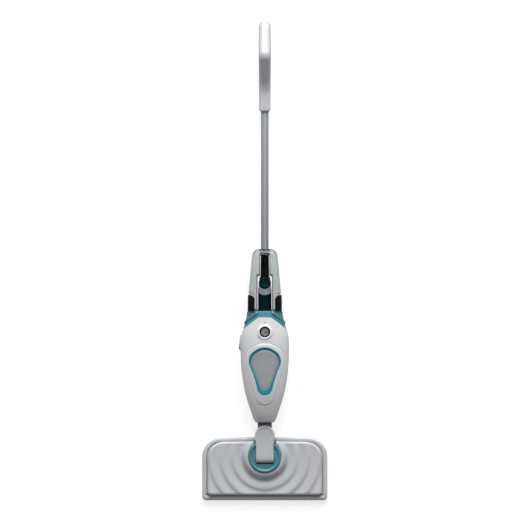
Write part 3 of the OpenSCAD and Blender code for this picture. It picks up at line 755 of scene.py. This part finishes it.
def make_base():
    edge = head_outline(0.0)
    prof = [(3.5, 6.0), (1.2, 6.2), (0.3, 7.0), (0.0, 8.2), (0.0, 9.4), (0.4, 10.9), (1.3, 12.3), (2.6, 13.3),
            (4.2, 13.85), (6.0, 14.0), (8.2, 13.8), (9.6, 13.2), (10.6, 12.2), (11.2, 11.2), (12.0, 10.8),
            (16.0, 10.8)]
    v, f = loops_mesh([[(x, y, z) for x, y in inset_loop(edge, d)] for d, z in prof])
    add("head_base_visual", v, f, M["head"], "head", ("head_base",), angle=40)


def ripple(r):
    """A ring pattern with a steep outer side and a long inner one, 27.5 mm apart."""
    u = ((r - 80.0) / 27.5 + 0.17) % 1.0
    fall = np.cos(np.clip(u / 0.34, 0, 1) * math.pi)
    rise = -np.cos(np.clip((u - 0.34) / 0.66, 0, 1) * math.pi)
    return np.where(u < 0.34, fall, rise)


def cover_height(x, y):
    """Height of the cover's top: a ripple pattern and a bulge round the neck."""
    r = np.hypot(x, y - TILT_Y)
    bulge = 13.6 * (1 - step(r, 43.5, 57.5)) ** 0.85
    wave = 1.25 * ripple(r) * step(r, 55, 64) - 1.1 * (1 - step(r, 55, 64))
    rear = 1 - step(y, 46, 66)
    return 26.4 + bulge + wave * (0.75 + 0.25 * rear)


def make_cover():
    """The rippled cover, with a round hole at the neck that is open towards the rear."""
    w, d = HEAD_W - 13.5, HEAD_D - 12.0
    outer = rounded([(-w, -d, 7.0), (w, -d, 7.0), (w, d + 1, 36.0), (-w, d + 1, 36.0)], 12)
    outer = [(x, bow(x, y)) for x, y in dense(outer, 3.0)]
    hole, notch = 39.2, 26.5
    # round the outside from the notch's right corner to its left one, then back round the hole
    seq = [p for p in outer if not (p[1] > 50 and abs(p[0]) < notch + 1.0)][::-1]
    start = min(range(len(seq)), key=lambda i: (seq[i][0] - notch) ** 2 + (seq[i][1] - 64) ** 2)
    seq = seq[start:] + seq[:start]
    a0 = math.acos(notch / hole)
    turns = [math.pi - a0 + (2 * a0 + math.pi) * k / 90 for k in range(91)]
    arc = [(hole * math.cos(a), TILT_Y + hole * math.sin(a)) for a in turns]
    loop = [(notch, seq[0][1])]
    for p in seq + [(-notch, seq[0][1])] + arc:
        if math.dist(p, loop[-1]) > 0.4:
            loop.append(p)
    pts = list(loop)
    for inset in (0.3, 1.0, 1.8, 2.7, 3.6, 4.4):
        pts += [p for p in inset_loop(outer, inset) if not (p[1] > 45 and abs(p[0]) < notch + 0.6)]
    grid = hex_grid(-140, -66, 140, 68, 2.1)
    grid = grid[(signed_distance(grid, outer) < -5.2) & (signed_distance(grid, loop) < -0.7)]
    v2, faces = fill(pts + [tuple(p) for p in grid], [len(loop)], lambda c: signed_distance(c, loop) < 0)
    x, y = v2.T
    rim = -signed_distance(v2, outer)
    top = cover_height(x, y) - 4.4 * np.clip(1 - rim / 4.2, 0, 1) ** 1.35
    ring = np.hypot(x, y - TILT_Y) - hole
    top -= fillet(np.where(ring > -0.05, ring, 5), 1.2)
    foot = np.where(ring < 5, 15.0, 12.6)
    under = foot + (top - 2.4 - foot) * step(-signed_distance(v2, loop), 1.8, 3.8)
    v, f = slab(v2, faces, top, under)
    add("head_cover_visual", v, f, M["head"], "head", ("head_cover",), angle=50)


make_base()
make_cover()


def make_trim():
    """The teal ring round the neck, with a slot for the tongue and an open rear."""
    prof = [(2.0, 41.6), (20.0, 41.6), (25.0, 41.5), (28.6, 41.0), (30.2, 40.6), (31.4, 41.0), (32.4, 42.2),
            (33.4, 43.2), (34.8, 43.9), (36.4, 43.8), (37.8, 43.0), (38.7, 41.6), (39.0, 39.6), (39.0, 27.5),
            (2.0, 27.5)]
    v, f = lathe(prof, (0, TILT_Y, 0), "Z", 160)
    obj = add("trim_ring_visual", v, f, M["teal"], "head", ("trim_ring",), angle=42)
    half, foot = 21.9, TILT_Y - 18.5
    slot = rounded([(-half, foot, 5), (half, foot, 5), (half, 110, 2), (-half, 110, 2)], 8)
    cut(obj, [tool(*prism(slot, 10, 70)), tool(*box(-60, 60, 64.4, 110, 10, 70))])
    soften(obj, 1.2, 4, 50, 42)


make_trim()

# -------------------- neck


def arc_points(centre_y, radius, degrees):
    turns = [math.radians(a) for a in degrees]
    return [(radius * math.cos(a), centre_y + radius * math.sin(a)) for a in turns]


def neck_outline():
    """The tongue from above: rounded foot corners, straight sides and a round knuckle."""
    end = NECK_TIP + 20
    right = rounded([(-21.2, 12.0, 6.0), (21.2, 12.0, 6.0), (21.2, 60.0, 20.0), (24.0, 72.0, 20.0),
                     (24.0, end, 1), (-24.0, end, 1)], 8)
    side = [p for p in right if 0 <= p[0] and p[1] < NECK_TIP and (p[1] < 70 or p[0] < 23.9)]
    return dense(side + arc_points(NECK_TIP, 24.0, range(0, 181, 5)) + [(-x, y) for x, y in side[::-1]], 2.2)


def make_neck():
    """The neck's tongue: a round barrel at the foot, a rounded knuckle at the top, and a raised rim."""
    outline = neck_outline()
    v2, faces = sheet(outline, 2.0, (0.2, 0.6, 1.2, 2.2, 3.4, 4.2, 5.0, 5.8, 6.6))
    d = -signed_distance(v2, outline)
    y = v2[:, 1]
    foot = np.maximum(TILT_Y - y, 0) / 16.0
    arch = 16.0 * np.maximum(1 - foot ** 3.2, 0) ** (1 / 3.2)
    dish = 0.9 * step(d, 4.0, 6.6) * step(y, 4, 64)
    rim = 1.5 + 1.9 * step(y, 66, 84)
    top = 34 + arch - fillet(d, rim) * step(y, 11.5, 24) - dish
    low = 34 - 8.5 * np.sqrt(np.maximum(1 - foot ** 2, 0)) + fillet(d, 2.0)
    v, f = slab(v2, faces, top, np.minimum(low, top - 0.02))
    hides = ("neck_cover", "neck_body")
    obj = add("neck_front_visual", v, f, M["neck"], "neck", hides, angle=60)
    # the pocket for the connector's eye
    reach = 17.8
    rise = NECK_TIP + 60 - 2 * reach * math.cos(math.radians(45))
    pocket = arc_points(NECK_TIP, reach, range(225, 316, 5))
    pocket += [(60, rise), (60, 170), (-60, 170), (-60, rise)]
    cut(obj, [tool(*prism(pocket, 31.2, 44.8))])
    smooth(obj.data, 45)


make_neck()

# nodes whose CAD shape only wants rounded edges
for source, body, mat, slot, width, segments in (
    ("connector", "body", "connector", "dark_plastic", 1.2, 3),
    ("rocker_bezel", "body", "neck", "neck_grey", 0.5, 3),
    ("power_rocker", "rocker", "black", "black_plastic", 0.8, 3),
    ("button_guard", "body", "grey_blue", "grey_blue", 0.8, 3),
    ("cord_hook", "hook", "dark", "dark_plastic", 0.8, 3),
    ("lower_cord_hook", "body", "dark", "dark_plastic", 0.8, 3),
    ("hook_base", "body", "dark", "dark_plastic", 0.5, 3),
    ("tank_cap", "cap", "petrol", "petrol", 0.5, 3),
    ("handle_spine", "body", "petrol", "petrol", 0.6, 2),
):
    rounded_copy(source, M[mat], body, width, segments)

# -------------------- button and stick


def make_button():
    prof = [(0.0, 44.6), (3.0, 44.6), (3.0, 60.4), (10.5, 60.4), (10.5, 54.0), (12.5, 54.0), (12.5, 61.6),
            (12.2, 62.4), (11.4, 62.9), (10.2, 62.9), (8.6, 62.4), (6.0, 61.8), (3.0, 61.5), (0.0, 61.4)]
    v, f = lathe(prof, (0, BUTTON_Y, 0), closed=False)
    add("release_button_visual", v, f, M["petrol"], "button", ("release_button",), angle=50)


def make_socket():
    """The fluted sleeve round the stick above the tank."""
    n = 192
    bore = 9.02
    prof = [(458.0, 9.1), (458.0, 10.4), (459.0, 10.5), (511.0, 10.0), (513.0, 9.7), (513.8, 9.2),
            (513.8, bore)]
    verts = []
    for y, r in prof:
        for k in range(n):
            a = 2 * math.pi * k / n
            flute = 0.75 * max(0.0, math.cos(a * 16)) if 458.5 < y < 512 else 0.0
            rr = max(r - flute, bore)
            verts.append((rr * math.sin(a), y, STICK_Z + rr * math.cos(a)))
    faces = grid_faces(len(prof), n, wrap_cols=True, wrap_rows=True)
    add("handle_socket_visual", verts, faces, M["black"], "body", ("handle_socket",),
        angle=30)


def make_tube():
    prof = [(7.8, 392.0), (8.85, 392.0), (9.0, 392.3), (9.0, 899.7), (8.85, 900.0), (7.8, 900.0)]
    v, f = lathe(prof, (0, 0, STICK_Z), "Y")
    obj = add("stick_tube_visual", v, f, M["tube"], "body", ("stick_tube",), angle=30)
    cut(obj, [pin(3.3, 40, 60, (0, BUTTON_Y, 0), n=32)])
    smooth(obj.data, 30)


make_button()
make_socket()
make_tube()

# -------------------- tank and cradle


def tank_loop(w, lo, hi, n, p=0.62):
    """A rounded section of half width w between the heights lo and hi."""
    mid, h = (lo + hi) / 2, (hi - lo) / 2
    out = []
    for i in range(n):
        a = 2 * math.pi * i / n
        c, s = math.cos(a), math.sin(a)
        out.append((w * math.copysign(abs(c) ** p, c), mid + h * math.copysign(abs(s) ** p, s)))
    return out


def tank_stations():
    """Half width and height range of the tank, with rounded foot and top."""
    ys = [*np.linspace(375, 412, 8), *np.linspace(414.5, 421, 8), *np.linspace(425, 500, 16),
          505, 509, 512.5, 515.5, 518, 520, 521.8, 523.2, 524.0]
    taper = ((38.6, 36.4, 32.8, 31.2), (21, 22, 24, 25.4), (86.4, 84.5, 80, 78))
    rows = []
    for y in ys:
        if y <= 416:
            t = (y - 375) / 41
            w, lo, hi = 37.2 - 0.4 * t, 21.0, 86.0 - 0.7 * t
        elif y <= 419:
            t = float(step(y, 416, 419))
            w, lo, hi = 36.8 + 1.8 * t, 21.0, 85.3 + 1.1 * t
        else:
            w, lo, hi = (float(np.interp(y, (419, 445, 487, 505), values)) for values in taper)
        if y > 505:
            k = 1 - math.sqrt(1 - ((y - 505) / 19.05) ** 2)
            w, lo, hi = 31.2 - 14.5 * k, 25.4 + 9.5 * k, 78 - 10 * k
        if y < 379:
            k = 2.5 * (1 - math.sqrt(1 - ((379 - y) / 4) ** 2))
            w, lo, hi = w - k, lo + k, hi - k
        rows.append((y, w, lo, hi))
    return rows


def tank_solid(inset, corner):
    loops = []
    for y, w, lo, hi in tank_stations():
        y = min(max(y, 375 + inset), 524 - inset)
        if not loops or y > loops[-1][0][1] + 0.05:
            loops.append([(x, y, z) for x, z in tank_loop(w - inset, lo + inset, hi - inset, 96, corner)])
    return loops_mesh(loops)


def slot_tools(grow, through):
    """The wide slot and the narrow slot for the spine, and the room behind the narrow one."""
    out = []
    for w, y0, y1, r in ((17.5 + grow, 330, 462 + grow, 5), (11.2 + grow, 400, 511 + grow + through, 4)):
        outline = rounded([(-w, y0, 0.5), (w, y0, 0.5), (w, y1, r), (-w, y1, r)], 6)
        out.append(tool(*prism(outline, 0, 130)))
    return out + [tool(*box(-w, w, 400.5, 600, -1, 50 + grow))]


def make_tank():
    v, f = tank_solid(0, 0.62)
    outer = add("tank_shell_visual", v, f, M["clear"], "tank", ("tank_shell",), angle=35)
    cut(outer, slot_tools(0, 0.0))
    wall_width = 2.2
    inner = tool(*tank_solid(wall_width, 0.78))
    cut(inner, slot_tools(wall_width, 30.0))
    cut(outer, [inner])
    spout, bore = (25, 0, 55), 5.6
    cut(outer, [tool(*lathe([(bore, 365), (7.2, 365), (7.2, 376), (bore, 376)], spout, "Y", 48))], "UNION")
    cut(outer, [pin(bore, 360, 380, spout, "Y", 48)])
    smooth(outer.data, 35)


def make_cradle():
    """The black cup round the tank's foot, with a waved upper edge and an opening for the spine."""
    rows = ((368, 0.0), (375, 0.0), (380, 0.0), (400, 0.15), (415, 0.6), (430, 1.0))
    v, f = loops_mesh([[(x, y, z) for x, z in tank_loop(41 - k, 15.5, 88.4, 128)] for y, k in rows])
    obj = add("tank_cradle_visual", v, f, M["black"], "body", ("tank_cradle",), angle=35)
    rows = ((360, 38.0), (440, 37.8))
    inner = tool(*loops_mesh([[(x, y, z) for x, z in tank_loop(w, 19, 86.5, 128)] for y, w in rows]))
    keep = tool(*prism([(-50, 375), (50, 375), (50, 418), (38, 414), (29, 410), (24.5, 404), (20, 425),
                        (-20, 425), (-24.5, 404), (-29, 410), (-38, 414), (-50, 418)], 0, 120))
    front = tool(*box(-24.5, 24.5, 340, 460, 34, 130))
    cut(obj, [inner])
    cut(obj, [keep], "INTERSECT")
    cut(obj, [front])
    cut(obj, [tool(*box(14, 33, 381, 440, 0, 34)), tool(*box(-33, -14, 381, 440, 0, 34))])
    cut(obj, [tool(*box(-9, 9, 404, 412, 15.5, 18))], "UNION")
    soften(obj, 0.8, 3, 40, 35)


make_tank()
make_cradle()

# -------------------- handle


def make_handle():
    """One blended grip, then split along its parting plane into the two halves."""
    outer = [(855, 24, 4), (855, 52, 4), (912, 52.5, 55), (984, 113, 22), (1074, 73, 30), (1066, 2, 30),
             (945, 4, 60), (912, 24, 40)]
    hole = [(946, 44, 12), (988, 84, 10), (1046, 56, 12), (1040, 24, 12), (962, 22, 14)]
    out = dense(rounded(outer, 16), 3.0)
    inn = dense(rounded(hole, 12), 3.0)

    def depth_at(p):
        """Distance to the nearest edge of the grip, negative outside."""
        return np.minimum(-signed_distance(p, out), signed_distance(p, inn))

    pts = out + inn
    for k in (0.35, 1.2, 2.4):
        pts += inset_loop(out, k) + inset_loop(inn, -k)
    grid = np.stack([g.ravel() for g in np.meshgrid(np.arange(852, 1076, 2.6), np.arange(0, 112, 2.6))], -1)
    pts += [tuple(p) for p in grid[depth_at(grid) > 1.2]]
    v2, faces = fill(pts, [len(out), len(inn)], lambda c: depth_at(c) > 0)
    depth = np.maximum(depth_at(v2), 0)
    along = v2[:, 0]
    width = np.interp(along, [855, 900, 960, 1010, 1060, 1074], [13.4, 13.6, 14.2, 14.7, 14.0, 13.0])
    width = width - 3.6 * (1 - step(along, 854.5, 864)) ** 1.5
    radius = np.interp(along, [855, 870, 900, 940], [3.0, 8.0, 10.0, 10.5])
    x = np.maximum(width - fillet(depth, radius), 0.35)
    inside = 0.02 + np.maximum(x - 2.4, 0) * step(depth, 1.8, 3.6)
    # the parting face is set in a little, which leaves a fine line where the halves meet
    borders = np.array(out + inn)
    sunk = np.array(inset_loop(out, 0.25) + inset_loop(inn, -0.25))
    edge = v2.copy()
    for i in np.flatnonzero(depth < 0.01):
        edge[i] = sunk[int(np.argmin(np.hypot(*(borders - v2[i]).T)))]
    for side, name in ((-1, "handle_left"), (1, "handle_right")):
        v, f = thick(np.column_stack((side * x, v2)), np.column_stack((side * inside, edge)), faces)
        add(f"{name}_visual", v, f, M["handle"], "body", (name,), angle=50)


make_handle()

# -------------------- pad

PAD_ROW = 4.0        # gap between the rows of points
PAD_CHANNEL = 5      # rows from one sewn line to the next


def puff(obj, pinned, cap):
    """Swells thin fabric by cloth simulation, held along its sewn lines; no point moves further than cap."""
    start = np.array([tuple(v.co) for v in obj.data.vertices])
    group = obj.vertex_groups.new(name="sewn")
    group.add([int(i) for i in pinned], 1.0, "REPLACE")
    cloth = obj.modifiers.new("cloth", "CLOTH")
    for key, value in (("quality", 4), ("mass", 0.02), ("tension_stiffness", 8), ("compression_stiffness", 8),
                       ("shear_stiffness", 4), ("bending_stiffness", 0.3), ("use_pressure", True),
                       ("uniform_pressure_force", 4.0), ("vertex_group_mass", "sewn")):
        setattr(cloth.settings, key, value)
    cloth.settings.effector_weights.gravity = 0
    scene = bpy.context.scene
    for f in range(1, 13):
        scene.frame_set(f)
    deps = bpy.context.evaluated_depsgraph_get()
    soft = obj.evaluated_get(deps).to_mesh()
    moved = np.array([tuple(v.co) for v in soft.vertices])
    obj.evaluated_get(deps).to_mesh_clear()
    obj.modifiers.clear()
    scene.frame_set(1)
    move = moved - start
    far = np.linalg.norm(move, axis=1, keepdims=True)
    return start + move * np.minimum(1.0, cap / np.maximum(far, 1e-9))


def make_pad():
    """Quilted microfibre: two faces sewn together in rows, with a bound edge."""
    edge = dense(head_outline(2.4), 4.0)
    low_y = min(p[1] for p in edge)
    v2, faces = sheet(edge, PAD_ROW / 0.87, (1.6,), 0.2)
    verts, faces = slab(v2, faces, np.full(len(v2), 4.1), np.full(len(v2), 0.9))
    obj = add("mop_pad_visual", verts, faces, M["pad"], "pad", ("mop_pad",), angle=60)
    co = np.array([tuple(v.co) for v in obj.data.vertices]) / MM
    row = (co[:, 1] - low_y) / PAD_ROW
    rim = signed_distance(co, edge) > -2.5
    sewn = (np.abs(row / PAD_CHANNEL - np.round(row / PAD_CHANNEL)) * PAD_CHANNEL < 0.3) | rim
    co = puff(obj, np.flatnonzero(sewn), 1.6 * MM) / MM
    top = co[:, 2] > 2.5
    co[:, 2] = np.where(sewn & ~rim, np.where(top, 3.9, 1.3), co[:, 2])
    co[:, 2] = np.clip(co[:, 2], 0.1, 4.95)
    for v, c in zip(obj.data.vertices, co):
        v.co = c * MM
    sub = obj.modifiers.new("soft", "SUBSURF")
    sub.levels = 1
    sub.render_levels = 1
    bake(obj)
    ring = head_outline(0.6)
    prof = [(4.6, 0.3), (2.2, 0.2), (0.8, 0.7), (0.0, 1.8), (0.0, 3.2), (0.8, 4.3), (2.2, 4.8), (4.6, 4.7)]
    loops = [[(x, y, z) for x, y in inset_loop(ring, d)] for d, z in prof]
    tape = bpy.data.meshes.new("tape")
    tape.from_pydata([tuple(c * MM for c in p) for l in loops for p in l], [],
                     grid_faces(len(loops), len(ring), wrap_cols=True, wrap_rows=True))
    bm = bmesh.new()
    bm.from_mesh(obj.data)
    first = len(bm.faces)
    bm.from_mesh(tape)
    bm.faces.ensure_lookup_table()
    for f in bm.faces[first:]:
        f.material_index = 1
    bmesh.ops.recalc_face_normals(bm, faces=bm.faces)
    bm.to_mesh(obj.data)
    bm.free()
    obj.data.materials.clear()
    obj.data.materials.append(M["pad"])
    obj.data.materials.append(M["pad_tape"])
    smooth(obj.data, 60)


make_pad()

# -------------------- floor, light and camera


def make_stage():
    grey = (0.38, 0.38, 0.38)
    m, b = shader("floor_pale", grey, 0.9, spec=0.02)
    grain(m, b, 3.0, grey, 0.003, 0.02)
    b.inputs["Emission Color"].default_value = (1, 1, 1, 1)
    b.inputs["Emission Strength"].default_value = 0.7
    mesh = solid("floor", *box(-6000, 6000, -6000, 7000, -2, -0.05), 1e-6)
    mesh.materials.append(m)
    obj = new_object("floor", mesh)
    obj.visible_glossy = False


def area(name, at, to, size, power):
    light = bpy.data.lights.new(name, "AREA")
    light.shape = "RECTANGLE"
    light.size = light.size_y = size
    light.energy = power
    obj = new_object(name, light)
    obj.location = at
    obj.rotation_euler = (Vector(to) - Vector(at)).to_track_quat("-Z", "Y").to_euler()


make_stage()
area("key_far", (0.15, 4.6, 3.1), (0, 0.45, 0), 3.4, 185)
area("top_soft", (0.0, 0.5, 6.0), (0, 0.5, 0), 5.0, 10)

# direction of the bright panel in degrees, and the sky's brightness away from it
SKY_E, SKY_SIDE = 22, 2
SKY_LOW, SKY_MID, SKY_STRENGTH = 0.05, 0.15, 2.75


def studio_sky():
    """A soft studio: a wide bright panel low behind the handle, darker towards the head."""
    world = bpy.data.worlds.new("studio")
    bpy.context.scene.world = world
    world.use_nodes = True
    background = world.node_tree.nodes["Background"]
    coord = node(world, "ShaderNodeTexCoord")
    dot = node(world, "ShaderNodeVectorMath")
    dot.operation = "DOT_PRODUCT"
    e, side = math.radians(SKY_E), math.radians(SKY_SIDE)
    dot.inputs[1].default_value = (math.sin(side) * math.cos(e), math.cos(side) * math.cos(e), math.sin(e))
    link(world, coord, "Generated", dot, 0)
    ramp = node(world, "ShaderNodeValToRGB")
    ramp.color_ramp.interpolation = "EASE"
    low, high = ramp.color_ramp.elements
    low.position, low.color = 0.0, (SKY_LOW, SKY_LOW, SKY_LOW * 1.03, 1)
    high.position, high.color = 1.0, (1, 1, 1, 1)
    ramp.color_ramp.elements.new(0.55).color = (SKY_MID, SKY_MID, SKY_MID * 1.02, 1)
    link(world, dot, "Value", ramp, "Fac")
    # seen directly it is plain grey
    mix = node(world, "ShaderNodeMix")
    mix.data_type = "RGBA"
    mix.inputs["B"].default_value = (0.35, 0.35, 0.35, 1)
    link(world, node(world, "ShaderNodeLightPath"), "Is Camera Ray", mix, "Factor")
    link(world, ramp, "Color", mix, "A")
    link(world, mix, "Result", background, "Color")
    background.inputs["Strength"].default_value = SKY_STRENGTH


studio_sky()

ELEVATION = math.radians(87)
TARGET = Vector((0.0005, 0.4886, 0.014))
DISTANCE = 24.0
VIEW_WIDTH = 1.272        # metres across the picture at the target
cam_data = bpy.data.cameras.new("camera")
cam_data.sensor_width = 36
cam_data.lens = 36 * DISTANCE / VIEW_WIDTH
cam_data.clip_end = 60
cam = new_object("camera", cam_data)
cam.location = TARGET + Vector((0, -math.cos(ELEVATION), math.sin(ELEVATION))) * DISTANCE
cam.rotation_euler = (math.pi / 2 - ELEVATION, 0, 0)
bpy.context.scene.camera = cam

bpy.context.scene.view_settings.view_transform = "Standard"
